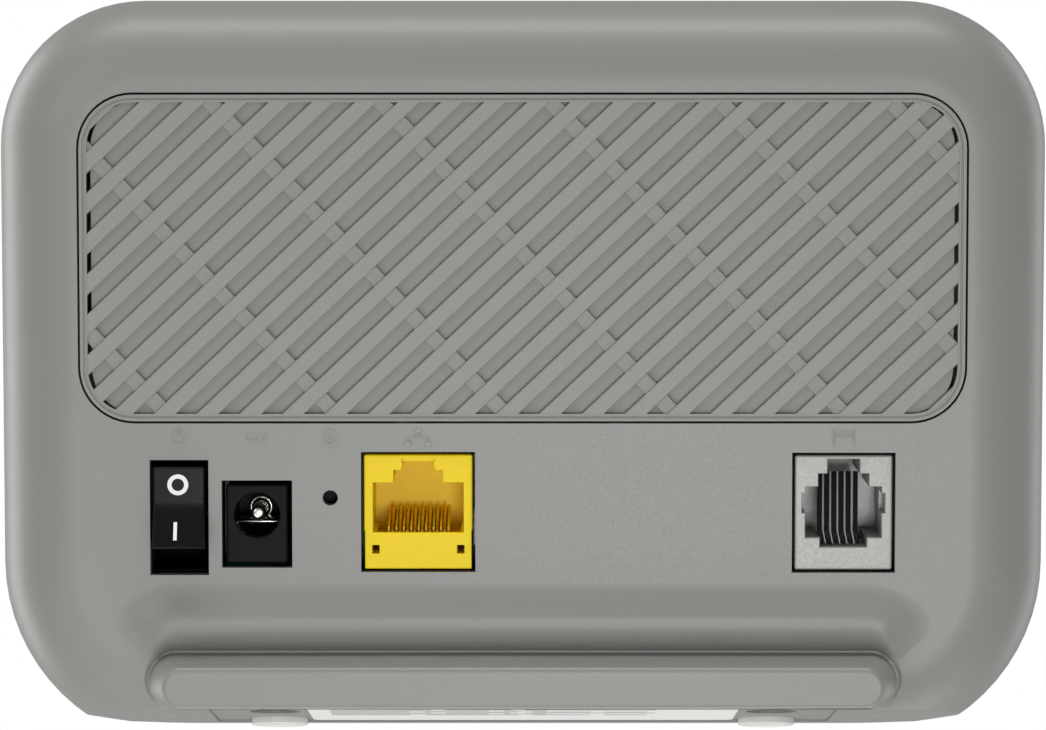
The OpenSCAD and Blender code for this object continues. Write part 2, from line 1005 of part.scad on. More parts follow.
module indicator_window() {
    fit = 0.15;
    color([0.20, 0.21, 0.22])
        stand()
            box_at(fit - window_w/2, lamp_y - window_h/2 + fit, front_z,
                window_w - 2*fit, window_h - 2*fit, window_thick);
}

rear_housing();
front_housing();
vent_grille();
vent_baffle();
rubber_feet();
rating_label();
main_pcb();
pcb_screws();
eth_jack_housing();
eth_jack_contacts();
dsl_jack_housing();
dsl_jack_contacts();
dc_jack_body();
dc_jack_pin();
dc_jack_spring();
switch_frame();
switch_rocker();
rocker_marks();
switch_terminals();
reset_switch_body();
reset_switch_cover();
reset_plunger();
reset_switch_legs();
soc_chip();
thermal_pad();
heat_sink();
memory_chip();
flash_chip();
ethernet_transformer();
line_transformer();
line_driver_chip();
surge_arrester();
line_fuse();
power_inductors();
electrolytic_capacitors();
voltage_regulator();
crystal_can();
chip_capacitors();
status_leds();
light_guide();
indicator_window();
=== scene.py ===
import json
import math

import bmesh
import bpy
from mathutils import Matrix, Vector


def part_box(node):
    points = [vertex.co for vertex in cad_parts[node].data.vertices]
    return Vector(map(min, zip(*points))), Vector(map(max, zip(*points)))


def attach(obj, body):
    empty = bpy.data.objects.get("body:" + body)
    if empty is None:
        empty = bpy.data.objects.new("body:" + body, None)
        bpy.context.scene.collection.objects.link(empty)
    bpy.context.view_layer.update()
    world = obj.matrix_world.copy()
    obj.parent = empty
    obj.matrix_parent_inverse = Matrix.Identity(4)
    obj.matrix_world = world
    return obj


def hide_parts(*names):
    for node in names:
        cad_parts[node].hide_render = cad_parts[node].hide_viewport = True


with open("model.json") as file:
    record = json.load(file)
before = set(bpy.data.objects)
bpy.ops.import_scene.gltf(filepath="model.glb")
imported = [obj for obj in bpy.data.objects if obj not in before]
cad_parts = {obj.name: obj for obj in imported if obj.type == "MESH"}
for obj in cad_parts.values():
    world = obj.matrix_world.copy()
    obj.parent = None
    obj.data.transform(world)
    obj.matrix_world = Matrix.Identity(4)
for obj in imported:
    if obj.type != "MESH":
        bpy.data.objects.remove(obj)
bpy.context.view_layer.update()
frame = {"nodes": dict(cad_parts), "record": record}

mm = 0.001

# the rear face's own frame: x across it, y up it, z straight out, zero at the face
mounts = {m["name"]: m for m in frame["record"]["mounts"]}
outward = Vector(mounts["dc_inlet"]["axis"]).normalized()
faceUp = outward.cross(Vector((1, 0, 0)))
inletSpot = dict(x=-36.3, y=-20.6, z=-0.3)  # where the part states its inlet, in that frame
faceOrigin = Vector(mounts["dc_inlet"]["pos_m"]) - (
    Vector((1, 0, 0)) * inletSpot["x"] + faceUp * inletSpot["y"] + outward * inletSpot["z"]) * mm
faceFrame = Matrix((
    (1, faceUp.x, outward.x, faceOrigin.x),
    (0, faceUp.y, outward.y, faceOrigin.y),
    (0, faceUp.z, outward.z, faceOrigin.z),
    (0, 0, 0, 1)))


def deselectAll():
    if bpy.context.mode != "OBJECT":
        bpy.ops.object.mode_set(mode="OBJECT")
    bpy.ops.object.select_all(action="DESELECT")


def pickOnly(piece):
    deselectAll()
    piece.select_set(True)
    bpy.context.view_layer.objects.active = piece


def startEdit(piece, mode="FACE"):
    pickOnly(piece)
    bpy.ops.object.mode_set(mode="EDIT")
    bpy.ops.mesh.select_mode(type=mode)
    bpy.ops.mesh.select_all(action="DESELECT")


def endEdit():
    bpy.ops.object.mode_set(mode="OBJECT")


# selects what passes the test in the mesh being edited
def choose(kind, test):
    me = bpy.context.edit_object.data
    bm = bmesh.from_edit_mesh(me)
    parts = {"verts": bm.verts, "edges": bm.edges, "faces": bm.faces}[kind]
    bpy.ops.mesh.select_all(action="DESELECT")
    count = 0
    for p in parts:
        if test(p):
            p.select_set(True)
            count += 1
    bm.select_flush_mode()
    bmesh.update_edit_mesh(me)
    return count


def newPiece(name):
    piece = bpy.context.object
    piece.name = name
    piece.data.name = name
    return piece


def applyAll(piece):
    pickOnly(piece)
    bpy.ops.object.transform_apply(location=True, rotation=True, scale=True)


def addBlock(name, x, y, z):
    # x, y and z are each a low and a high side, in mm
    deselectAll()
    bpy.ops.mesh.primitive_cube_add(size=1)
    piece = newPiece(name)
    piece.location = [(a + b) / 2 * mm for a, b in (x, y, z)]
    piece.scale = [(b - a) * mm for a, b in (x, y, z)]
    applyAll(piece)
    return piece


def addRod(name, x, y, radius, z, sides=48):
    deselectAll()
    bpy.ops.mesh.primitive_cylinder_add(vertices=sides, radius=radius * mm,
                                        depth=(z[1] - z[0]) * mm,
                                        location=(x * mm, y * mm, (z[0] + z[1]) / 2 * mm))
    rod = newPiece(name)
    applyAll(rod)
    return rod


# flat plate with arced corners, facing up the frame's z
def addPlate(name, x, y, z, topRadius, lowRadius, steps=12):
    deselectAll()
    bpy.ops.mesh.primitive_plane_add(size=1)
    piece = newPiece(name)
    piece.location = ((x[0] + x[1]) / 2 * mm, (y[0] + y[1]) / 2 * mm, z * mm)
    piece.scale = ((x[1] - x[0]) * mm, (y[1] - y[0]) * mm, 1)
    applyAll(piece)
    middle = (y[0] + y[1]) / 2 * mm
    startEdit(piece, "VERT")
    for upper, radius in ((True, topRadius), (False, lowRadius)):
        edge = max if upper else min
        level = (y[1] if upper else y[0]) * mm
        choose("verts", lambda v: abs(v.co.y - level) < 1e-6 and (v.co.y > middle) == upper)
        bpy.ops.mesh.bevel(offset=radius * mm, segments=steps, affect="VERTICES", profile=0.5)
    endEdit()
    return piece


# plate with two round ends: a disc whose halves are pulled apart
def addStadium(name, halfLength, y, z, radius, steps=48):
    deselectAll()
    bpy.ops.mesh.primitive_circle_add(vertices=steps, radius=radius * mm, fill_type="NGON",
                                      location=(0, y * mm, z * mm))
    piece = newPiece(name)
    applyAll(piece)
    startEdit(piece, "VERT")
    for side in (-1, 1):
        choose("verts", lambda v: v.co.x * side > 1e-6)
        bpy.ops.transform.translate(value=(side * halfLength * mm, 0, 0))
    endEdit()
    return piece


# raises the top face of a plate by a list of (inwards, outwards) steps in mm
def growSteps(piece, steps, facing=1):
    startEdit(piece)
    choose("faces", lambda f: f.normal.z * facing > 0.99)
    for inwards, outwards in steps:
        if abs(inwards) < 1e-9:
            bpy.ops.mesh.extrude_region_move(
                TRANSFORM_OT_translate={"value": (0, 0, outwards * facing * mm)})
        else:
            bpy.ops.mesh.inset(thickness=inwards * mm, depth=outwards * mm, use_even_offset=True)
    endEdit()


def fixNormals(piece):
    startEdit(piece)
    bpy.ops.mesh.select_all(action="SELECT")
    bpy.ops.mesh.remove_doubles(threshold=1e-6)
    bpy.ops.mesh.normals_make_consistent(inside=False)
    endEdit()


# cuts with, joins to or keeps what is shared with another piece, which is used up
def carve(piece, tool, operation="DIFFERENCE"):
    pickOnly(piece)
    step = piece.modifiers.new("carve", "BOOLEAN")
    step.operation, step.solver, step.object = operation, "EXACT", tool
    bpy.ops.object.modifier_apply(modifier=step.name)
    bpy.data.objects.remove(tool, do_unlink=True)


def joinPieces(pieces, name):
    deselectAll()
    for p in pieces:
        p.select_set(True)
    bpy.context.view_layer.objects.active = pieces[0]
    bpy.ops.object.join()
    return newPiece(name)


def copyPiece(piece, name):
    other = piece.copy()
    other.data = piece.data.copy()
    other.name = name
    bpy.context.collection.objects.link(other)
    return other


# copies of a piece, each moved by its own amount in mm, with the first one used up
def copyAlong(piece, moves, axis=0):
    copies = []
    for move in moves:
        other = copyPiece(piece, piece.name)
        other.location[axis] = move * mm
        applyAll(other)
        copies.append(other)
    bpy.data.objects.remove(piece, do_unlink=True)
    return copies


# places of a row set evenly about its middle
def rowPlaces(mid, count, pitch):
    return [mid + (i - (count - 1) / 2) * pitch for i in range(count)]


# keeps what is above a level height over the desk, with a flat cap
def cutLevel(piece, height):
    inverse = faceFrame.inverted()
    spot = inverse @ Vector((0, 0, height * mm))
    normal = inverse.to_3x3() @ Vector((0, 0, 1))
    startEdit(piece)
    bpy.ops.mesh.select_all(action="SELECT")
    bpy.ops.mesh.bisect(plane_co=spot, plane_no=normal, use_fill=True, clear_inner=True)
    endEdit()


def bevelEdges(piece, test, width, segments=2):
    startEdit(piece, "EDGE")
    if choose("edges", test):
        bpy.ops.mesh.bevel(offset=width * mm, segments=segments, affect="EDGES",
                           clamp_overlap=True)
    endEdit()


def softenBlock(piece, width, segments=2, angle=40):
    pickOnly(piece)
    step = piece.modifiers.new("edges", "BEVEL")
    step.width, step.segments, step.limit_method = width * mm, segments, "ANGLE"
    step.angle_limit = math.radians(angle)
    step.use_clamp_overlap = True
    bpy.ops.object.modifier_apply(modifier=step.name)


def smoothShade(piece, angle=32, weighted=True):
    pickOnly(piece)
    bpy.ops.object.shade_smooth_by_angle(angle=math.radians(angle))
    if weighted:
        step = piece.modifiers.new("even shading", "WEIGHTED_NORMAL")
        step.keep_sharp, step.weight = True, 100
        bpy.ops.object.modifier_apply(modifier=step.name)


# leans the piece into its place, and says what it is to the frame
def settle(piece, finish, body, nodes=(), inFace=True):
    if inFace:
        piece.matrix_world = faceFrame
        applyAll(piece)
    piece.data.materials.clear()
    piece.data.materials.append(finish)
    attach(piece, body)
    if nodes:
        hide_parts(*nodes)
    return piece


def hexColour(text):
    values = [int(text[i:i + 2], 16) / 255 for i in (1, 3, 5)]
    return [v / 12.92 if v <= 0.04045 else ((v + 0.055) / 1.055) ** 2.4 for v in values] + [1]


def addNode(tree, kind, settings=None, **links):
    node = tree.nodes.new(kind)
    for name, value in (settings or {}).items():
        if name in node.inputs:
            node.inputs[name].default_value = value
        else:
            setattr(node, name, value)
    for name, source in links.items():
        tree.links.new(source, node.inputs[name.replace("_", " ")])
    return node


# one finish: a base colour with faint mottling, grain in the surface and set gloss
def makeFinish(name, colour, rough, darker=None, grain=0.25, depth=0.02, metal=0.0, coat=0.0,
               ior=None, patch=6.0, mottle=0.5, through=0.0, glow=0.0, specular=0.5):
    mat = bpy.data.materials.new(name)
    mat.use_nodes = True
    tree = mat.node_tree
    shader = tree.nodes["Principled BSDF"]
    place = addNode(tree, "ShaderNodeTexCoord").outputs["Object"]
    cloud = addNode(tree, "ShaderNodeTexNoise",
                    {"Scale": 1 / (patch * mm), "Detail": 3.0, "Roughness": 0.5}, Vector=place)
    fine = addNode(tree, "ShaderNodeTexNoise",
                   {"Scale": 1 / (grain * mm), "Detail": 2.0, "Roughness": 0.6}, Vector=place)
    tint = addNode(tree, "ShaderNodeMix", {"data_type": "RGBA"})
    tint.inputs[6].default_value = hexColour(colour)
    tint.inputs[7].default_value = hexColour(darker or colour)
    amount = addNode(tree, "ShaderNodeMath", {"operation": "MULTIPLY"})
    amount.inputs[1].default_value = mottle
    tree.links.new(cloud.outputs["Fac"], amount.inputs[0])
    tree.links.new(amount.outputs[0], tint.inputs[0])
    tree.links.new(tint.outputs[2], shader.inputs["Base Color"])
    spread = addNode(tree, "ShaderNodeMapRange",
                     {"From Min": 0.3, "From Max": 0.7, "To Min": rough - 0.05, "To Max": rough + 0.05},
                     Value=fine.outputs["Fac"])
    tree.links.new(spread.outputs["Result"], shader.inputs["Roughness"])
    bump = addNode(tree, "ShaderNodeBump", {"Strength": 0.6, "Distance": depth * mm},
                   Height=fine.outputs["Fac"])
    tree.links.new(bump.outputs["Normal"], shader.inputs["Normal"])
    shader.inputs["Metallic"].default_value = metal
    shader.inputs["Coat Weight"].default_value = coat
    if ior:
        shader.inputs["IOR"].default_value = ior
    if through:
        shader.inputs["Transmission Weight"].default_value = through
    if glow:  # light wanders this many mm inside a milky plastic
        shader.inputs["Subsurface Weight"].default_value = 0.6
        shader.inputs["Subsurface Radius"].default_value = (1.0, 0.6, 0.1)
        shader.inputs["Subsurface Scale"].default_value = glow * mm
    shader.inputs["Specular IOR Level"].default_value = specular
    return mat


finishes = {
    # spark-eroded grain in the mould: the eye sees a soft, even grey with broad dull highlights
    "case": makeFinish("moulded grey ABS", "#8b8b88", 0.42, "#868682", grain=0.22, depth=0.012,
                       ior=1.53),
    # same plastic from a finer mould: a touch paler, and no sparkle on the ribs
    "vent": makeFinish("moulded vent ABS", "#8e8e8a", 0.47, "#898985", grain=0.22, depth=0.012,
                       ior=1.53),
    # pigment with a little light wandering inside it: warm, full colour even in the shade
    "yellow": makeFinish("moulded yellow PBT", "#ffdc00", 0.5, "#fad400", grain=0.3, depth=0.006,
                         ior=1.55, glow=1.0, specular=0.3),
    # smooth mould: a cleaner, paler grey than the case, with thin bright edges
    "lightGrey": makeFinish("moulded light grey PBT", "#9a9b96", 0.34, "#9c9d98", grain=0.3,
                            depth=0.006, ior=1.55),
    # dull mould: a neutral black that still shows its flat faces
    "black": makeFinish("moulded black nylon", "#0f0f0e", 0.5, "#0b0b0b", grain=0.3, depth=0.008,
                        ior=1.53, specular=0.1),
    # rough mould deep in its opening, its black made darker still as painted shade, so only a dark gap
    # is read
    "shadowBlack": makeFinish("black nylon darkened as painted shade", "#060606", 0.75, "#040404", grain=0.3,
                           depth=0.01, ior=1.53, specular=0.08),
    # polished mould: a darker black whose rounded edges catch a thin light line
    "rocker": makeFinish("moulded black polycarbonate", "#0d0d0c", 0.33, "#0a0a09", grain=0.6,
                         depth=0.004, ior=1.58, specular=0.13),
    # ink laid on by a soft pad: flat, opaque white with a dry look
    "white": makeFinish("white pad print", "#f4f4f2", 0.5, "#e9e9e6", grain=0.2, depth=0.003),
    # drawn and plated wire: warm, sharp streaks of light
    "gold": makeFinish("gold plated phosphor bronze", "#d7a845", 0.26, "#c18f36", grain=0.4,
                       depth=0.002, metal=1.0),
    # turned and plated: cool bright glints on a dark ground
    "nickel": makeFinish("nickel plated brass", "#d9d6cf", 0.22, "#c6c3bb", grain=0.4,
                         depth=0.002, metal=1.0),
    # dipped sheet: grey metal with a soft, cloudy sheen
    "tin": makeFinish("tinned steel", "#c9c9cc", 0.35, "#b4b4b8", grain=0.5, depth=0.003, metal=1.0),
    # plated screws: bluish grey with a grainy shine
    "zinc": makeFinish("zinc plated steel", "#c4c6c9", 0.32, "#a9abb0", grain=0.3, depth=0.004,
                       metal=1.0),
    # lacquered weave: dark green under a thin wet gloss
    "laminate": makeFinish("solder masked glass epoxy", "#1d6b3a", 0.4, "#175a30", grain=0.5,
                           depth=0.004, coat=0.2, ior=1.55),
    # filled resin from a sand-blasted mould: charcoal with no shine
    "epoxy": makeFinish("transfer moulded epoxy", "#232325", 0.55, "#1b1b1d", grain=0.15,
                        depth=0.006),
    # cast sheet: chalky blue grey, slightly uneven
    "gel": makeFinish("cast silicone gap pad", "#93a2b4", 0.7, "#8494a6", grain=0.4, depth=0.01),
    # drawn through a die: pale metal with a silky shine
    "aluminium": makeFinish("extruded aluminium", "#cfd1d4", 0.34, "#bcbec2", grain=0.2,
                            depth=0.006, metal=1.0),
    # pressed and fired powder: dull, stony dark grey
    "ferrite": makeFinish("sintered ferrite", "#38383a", 0.6, "#2c2c2e", grain=0.2, depth=0.01),
    # dipped drop: amber with a glassy skin
    "resin": makeFinish("dipped epoxy resin", "#d99b2b", 0.35, "#c98a20", grain=0.8, depth=0.006,
                        coat=0.3),
    # film shrunk tight: slate with a soft stretched gloss
    "sleeve": makeFinish("shrunk PET sleeve", "#3c4250", 0.3, "#343a47", grain=0.6, depth=0.004),
    # fired body: sandy brown, dry
    "ceramic": makeFinish("fired ceramic", "#b99f7b", 0.45, "#a98f6c", grain=0.2, depth=0.004),
    # cast drop: milky, pale and shiny
    "lamp": makeFinish("cast LED resin", "#eef0dc", 0.25, "#e2e4cc", grain=0.5, depth=0.002),
    # clear moulding: light passes, edges look bright
    "guide": makeFinish("moulded clear acrylic", "#f2f6f7", 0.12, "#e8eeef", grain=0.8,
                        depth=0.002, ior=1.49, through=0.7),
    # smoked sheet: near black with a clear reflection
    "window": makeFinish("smoked polycarbonate", "#2c2e31", 0.16, "#26282b", grain=0.9,
                         depth=0.002, coat=0.3, ior=1.58),
    # wires painted almost black as painted shade in place of their gold plating, so they stand out from
    # the pale plastic
    "shadedWire": makeFinish("phosphor bronze darkened as painted shade", "#0b0a08", 0.5, "#070605", grain=0.4,
                           depth=0.002, specular=0.15),
    # heat-set print: soft grey rules
    "ink": makeFinish("grey thermal print", "#6f6f72", 0.6, "#626265", grain=0.2, depth=0.002),
    # moulded pad: off-white and velvety
    "rubber": makeFinish("moulded silicone rubber", "#d9d9d5", 0.55, "#cfcfca", grain=0.2,
                         depth=0.01, ior=1.41),
    # printed film: clean white with a low sheen
    "label": makeFinish("printed polyester film", "#ededea", 0.45, "#e2e2df", grain=0.4,
                        depth=0.003),
}
print("finishes made:", len(finishes))

cadFinish = {
    "vent_baffle": "vent", "main_pcb": "laminate", "pcb_screws": "zinc", "switch_frame": "shadowBlack",
    "switch_terminals": "tin", "reset_switch_body": "black", "reset_switch_cover": "tin",
    "reset_plunger": "black", "reset_switch_legs": "tin", "soc_chip": "epoxy", "thermal_pad": "gel",
    "heat_sink": "aluminium", "memory_chip": "epoxy", "flash_chip": "epoxy",
    "ethernet_transformer": "epoxy", "line_transformer": "ferrite", "line_driver_chip": "epoxy",
    "surge_arrester": "nickel", "line_fuse": "resin", "power_inductors": "ferrite",
    "electrolytic_capacitors": "sleeve", "voltage_regulator": "epoxy", "crystal_can": "nickel",
    "chip_capacitors": "ceramic", "status_leds": "lamp", "light_guide": "guide",
    "rating_label": "label", "rubber_feet": "rubber", "indicator_window": "window",
    "rocker_marks": "white", "switch_rocker": "rocker", "dc_jack_body": "black",
    "dc_jack_pin": "nickel", "dc_jack_spring": "nickel", "eth_jack_housing": "yellow",
    "eth_jack_contacts": "gold", "dsl_jack_housing": "lightGrey", "dsl_jack_contacts": "gold",
    "rear_housing": "case", "front_housing": "case", "vent_grille": "vent",
}
for node, finish in cadFinish.items():
    data = frame["nodes"][node].data
    data.materials.clear()
    data.materials.append(finishes[finish])
print("finishes given to the CAD nodes")

# the case, as both halves share it
case = dict(width=144, top=49.4, low=-54.6, depth=34, seam=13, wall=2.2, topRadius=20,
            lowRadius=26.5, rearIn=11, rearDeep=11, frontIn=13, frontDeep=15, baseLevel=0.6)


# steps of a quarter ellipse from the side wall round to the flat face
def edgeSteps(inwards, deep, count):
    steps = []
    for i in range(count):
        a, b = math.pi / 2 * i / count, math.pi / 2 * (i + 1) / count
        steps.append((inwards * (math.cos(a) - math.cos(b)), deep * (math.sin(b) - math.sin(a))))
    return steps


# one half of the case as a solid block, drawn in by the wall for its hollow
def caseHalf(name, rear, drawn=0.0, past=0.0):
    half = case["width"] / 2 - drawn
    level = -case["seam"] + (-past if rear else past)
    plate = addPlate(name, (-half, half), (case["low"] + drawn, case["top"] - drawn), level,
                     case["topRadius"] - drawn, case["lowRadius"] - drawn, steps=16)
    if rear:
        straight = case["seam"] + past - case["rearDeep"]
        steps = edgeSteps(case["rearIn"] - drawn, case["rearDeep"] - drawn, 12)
    else:
        straight = case["depth"] - case["seam"] + past - case["frontDeep"]
        steps = edgeSteps(case["frontIn"] - drawn, case["frontDeep"] - drawn, 14)
        startEdit(plate)
        bpy.ops.mesh.select_all(action="SELECT")
        bpy.ops.mesh.flip_normals()
        endEdit()
    growSteps(plate, [(0, straight)] + steps, 1 if rear else -1)
    fixNormals(plate)
    return plate


foot = dict(y=-43.4, half=47.4, radius=3.75, noseRadius=2.95, out=7.0, noseRound=0.8)
lip = dict(half=46.0, radius=15.2, crestRadius=8.5, innerRadius=8.2, out=1.35, swell=1.6, roll=2.7,
           dishRadius=4.05, dishDeep=0.9, fadeFrom=20, fadeTo=62, leftOver=0.35, sunk=1.5,
           buried=0.03, pocketRadius=6.4, pocketHalf=46.8, pocketDeep=1.3)


def smoothStep(t):
    t = min(max(t, 0), 1)
    return t * t * (3 - 2 * t)


# height of the case's own rear surface over the lower half of the face, in mm
def caseLevel(x, y):
    across = max(abs(x) - (case["width"] / 2 - case["lowRadius"]), 0)
    down = max(case["low"] + case["lowRadius"] - y, 0)
    past = math.hypot(across, down) - (case["lowRadius"] - case["rearIn"])
    share = min(max(past / case["rearIn"], 0), 1)
    return -case["rearDeep"] * (1 - math.sqrt(1 - share ** 2))


# follows the case's surface, lets the lip die away round the bar's ends, widens the inner rings
def layOnCase(plate):
    for v in plate.data.vertices:
        x, y, z = v.co / mm
        dx, dy = max(abs(x) - lip["half"], 0), y - foot["y"]
        turn = math.degrees(math.atan2(dx, dy))
        share = 1 - smoothStep((turn - lip["fadeFrom"]) / (lip["fadeTo"] - lip["fadeFrom"]))
        if z > 0:
            z = (z + lip["buried"]) * share - lip["buried"]
        elif -lip["dishDeep"] - 0.1 < z < -lip["buried"] - 0.01:
            z *= max(share, lip["leftOver"])
        if dx:
            inner = (lip["crestRadius"] - math.hypot(dx, dy)) / (
                lip["crestRadius"] - lip["dishRadius"])
            x += math.copysign((foot["half"] - lip["half"]) * min(max(inner, 0), 1), x)
        v.co = Vector((x, y, z + caseLevel(x, y))) * mm


# the raised lip as one plate: a soft rise to its crest, then a roll down into the bar's root
def lipBlock():
    rise, roll = 14, 12
    plate = addStadium("lip", lip["half"], foot["y"], -lip["sunk"], lip["radius"], 96)
    steps = [(0, lip["sunk"] - lip["buried"])]
    for i in range(rise):
        a, b = (smoothStep((k / rise) ** lip["swell"]) for k in (i, i + 1))
        steps.append(((lip["radius"] - lip["crestRadius"]) / rise,
                      (lip["out"] + lip["buried"]) * (b - a)))
    steps.append((lip["crestRadius"] - lip["innerRadius"], 0))
    for i in range(roll):
        a, b = (i / roll) ** lip["roll"], ((i + 1) / roll) ** lip["roll"]
        steps.append(((lip["innerRadius"] - lip["dishRadius"]) / roll,
                      -(lip["out"] + lip["dishDeep"]) * (b - a)))
    steps.append((0.9, 0))  # its floor ends under the bar
    growSteps(plate, steps)
    layOnCase(plate)
    fixNormals(plate)
    return plate


def lipPocket():
    plate = addStadium("pocket", lip["pocketHalf"], foot["y"], -lip["pocketDeep"],
                       lip["pocketRadius"])
    growSteps(plate, [(0, lip["pocketDeep"] + 3)])
    fixNormals(plate)
    return plate


def footBlock():
    sunk = 1.8
    plate = addStadium("foot", foot["half"], foot["y"], -sunk, foot["radius"])
    draft = foot["radius"] - foot["noseRadius"]
    straight = foot["out"] - foot["noseRound"]
    steps = [(0, sunk)] + [(draft / 3, straight / 3)] * 3
    steps += edgeSteps(foot["noseRound"], foot["noseRound"], 5)
    growSteps(plate, steps)
    # the ends draw in a little more than the long sides
    startEdit(plate, "VERT")
    choose("verts", lambda v: v.co.z > (straight - 0.01) * mm)
    bpy.ops.transform.resize(value=(0.975, 1, 1), center_override=(0, foot["y"] * mm, 0))
    endEdit()
    fixNormals(plate)
    return plate


vent = dict(x=-0.05, y=14.5, width=121, height=45, radius=7.6, fit=0.3, margin=1.3, overlap=0.05,
            pitch=4.0, slot=1.9, angle=43.3, ribs=15, ribLong=180, barPitch=16.8, barPhase=0.5,
            bar=2.2, bars=4, barLong=150, barDrop=0.42, thick=1.1, skin=0.1, cut=(-4, 2))


# rounded block in the vent's opening, drawn in from its edge
def ventBlock(name, drawn, z):
    x = (vent["x"] - vent["width"] / 2 + drawn, vent["x"] + vent["width"] / 2 - drawn)
    y = (vent["y"] - vent["height"] / 2 + drawn, vent["y"] + vent["height"] / 2 - drawn)
    plate = addPlate(name, x, y, z[0], vent["radius"] - drawn, vent["radius"] - drawn, steps=12)
    growSteps(plate, [(0, z[1] - z[0])])
    fixNormals(plate)
    return plate


ports = {
    "network": dict(x=(-21.7, -6.9), y=(-28.0, -12.3), gap=0.4),
    "line": dict(x=(37.1, 50.4), y=(-28.1, -12.4), gap=0.4),
    "inlet": dict(x=(-40.5, -32.1), y=(-27.2, -16.4), gap=0.6),
    "rocker": dict(x=(-50.9, -42.9), y=(-28.8, -13.0), gap=0.0),
}
resetHole = dict(x=-26.3, y=-18.2, radius=1.05)
keyholes = dict(x=34.5, headY=3.1, slotY=-4.9, radius=3.5, slot=1.8, reach=(-4, 4))
panel = dict(width=86.5, near=-9.3, far=17.6, deep=0.3)


# cutters for the openings of the rear face, which reach through its wall
def openingTools():
    tools = [ventBlock("ventTool", 0, (-6, 3))]
    for name, p in ports.items():
        g = p["gap"]
        tools.append(addBlock(name + "Tool", (p["x"][0] - g, p["x"][1] + g),
                              (p["y"][0] - g, p["y"][1] + g), (-7, 3)))
    tools.append(addRod("resetTool", resetHole["x"], resetHole["y"], resetHole["radius"], (-6, 2), 40))
    return tools


# keyholes and the label's shallow panel are square to the desk, so they are cut after leaning
def baseTools(rear):
    tools = []
    half = panel["width"] / 2
    tools.append(addBlock("panelTool", (-half, half), (panel["near"], panel["far"]),
                          (-2, case["baseLevel"] + panel["deep"])))
    if rear:
        for side in (-1, 1):
            x = side * keyholes["x"]
            tools.append(addRod("headTool", x, keyholes["headY"], keyholes["radius"],
                                keyholes["reach"], 40))
            tools.append(addRod("slotEndTool", x, keyholes["slotY"], keyholes["slot"],
                                keyholes["reach"], 32))
            tools.append(addBlock("slotTool", (x - keyholes["slot"], x + keyholes["slot"]),
                                  (keyholes["slotY"], keyholes["headY"]), keyholes["reach"]))
    return tools


# rim of an opening in the flat rear face
def onFlatRear(e):
    if len(e.link_faces) != 2:
        return False
    if max(abs(v.co.z) for v in e.verts) > 1e-6:
        return False
    a, b = sorted(f.normal.z for f in e.link_faces)
    return b > 0.999 and abs(a) < 0.05


# outer edge of the plane where the two halves meet
def onSeamOutline(e):
    if len(e.link_faces) != 2 or max(abs(v.co.z + case["seam"] * mm) for v in e.verts) > 1e-6:
        return False
    side = min(e.link_faces, key=lambda f: abs(f.normal.z))
    middle = (e.verts[0].co + e.verts[1].co) / 2
    return abs(side.normal.z) < 0.3 and side.normal.x * middle.x + side.normal.y * middle.y > 0


rearCase = caseHalf("rearCase", True)
hollow = caseHalf("rearHollow", True, case["wall"], past=2)
cutLevel(rearCase, case["baseLevel"])
carve(rearCase, lipPocket())
lipPiece = lipBlock()
cutLevel(lipPiece, case["baseLevel"])
carve(rearCase, lipPiece, "UNION")
footPiece = footBlock()
cutLevel(footPiece, 0)
carve(rearCase, footPiece, "UNION")
cutLevel(hollow, case["baseLevel"] + case["wall"])
carve(rearCase, hollow)
for tool in openingTools():
    carve(rearCase, tool)
bevelEdges(rearCase, onFlatRear, 0.22)
bevelEdges(rearCase, onSeamOutline, 0.25, 1)
rearCase.matrix_world = faceFrame
applyAll(rearCase)
for tool in baseTools(True):
    carve(rearCase, tool)
smoothShade(rearCase)
settle(rearCase, finishes["case"], "chassis", ["rear_housing"], inFace=False)
print("rear half of the case:", len(rearCase.data.polygons), "faces")

window = dict(width=46, height=5, y=-30, cut=(-38, -30), gap=0.1, thick=1.4, edge=0.25)
frontCase = caseHalf("frontCase", False)
hollow = caseHalf("frontHollow", False, case["wall"], past=2)
cutLevel(frontCase, case["baseLevel"])
cutLevel(hollow, case["baseLevel"] + case["wall"])
carve(frontCase, hollow)
bevelEdges(frontCase, onSeamOutline, 0.25, 1)
carve(frontCase, addBlock("windowTool", (-window["width"] / 2, window["width"] / 2),
                          (window["y"] - window["height"] / 2, window["y"] + window["height"] / 2),
                          window["cut"]))
frontCase.matrix_world = faceFrame
applyAll(frontCase)
for tool in baseTools(False):
    carve(frontCase, tool)
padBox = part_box("rubber_feet")
pads = dict(x=keyholes["x"], y=(padBox[0][1] + padBox[1][1]) / 2 / mm, radius=4.0, thick=1.2,
            seat=4.1, rim=0.9, step=0.3, dish=0.25, roll=0.35)
for side in (-1, 1):
    carve(frontCase, addRod("padTool", side * pads["x"], pads["y"], pads["seat"],
                            (-pads["thick"], pads["thick"]), 40))
smoothShade(frontCase)
settle(frontCase, finishes["case"], "chassis", ["front_housing"], inFace=False)
print("front half of the case:", len(frontCase.data.polygons), "faces")

# the vent: a frame with a fine groove, slanting ribs and lower cross bars
top = -vent["skin"]
ventFrame = ventBlock("ventFrame", vent["fit"], (top - vent["thick"], top))
growSteps(ventFrame, [(0.38, 0), (0.12, -0.16), (0.1, 0), (0.12, 0.16)])
carve(ventFrame, ventBlock("frameTool", vent["margin"], vent["cut"]))


